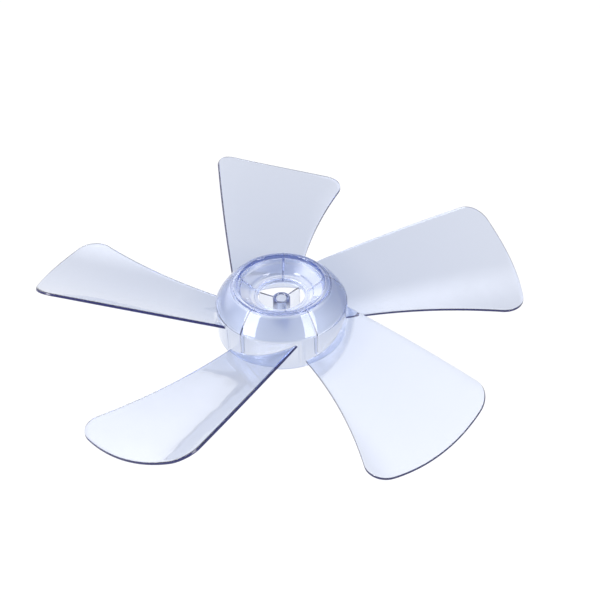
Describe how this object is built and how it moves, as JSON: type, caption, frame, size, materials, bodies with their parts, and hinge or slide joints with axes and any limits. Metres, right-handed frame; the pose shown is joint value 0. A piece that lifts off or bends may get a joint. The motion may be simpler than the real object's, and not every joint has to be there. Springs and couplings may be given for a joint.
{
  "type": "pedestal fan blade",
  "caption": "Clear moulded fan impeller: thin dished blades around an open ribbed hub with a shaft boss, cross-pin slot and nut recess.",
  "frame": {"origin": "on the shaft axis, at the rear mouth of the shaft bore", "axes": "+Z along the shaft, out of the front of the fan, on the side of the nut recess; +X close to the first blade's middle"},
  "size_m": [0.3543, 0.3559, 0.042],
  "materials": {
    "clear_plastic": "polished clear styrene plastic with a faint blue tint"
  },
  "bodies": {
    "root": {"fan_blade": "clear_plastic"}
  },
  "joints": []
}
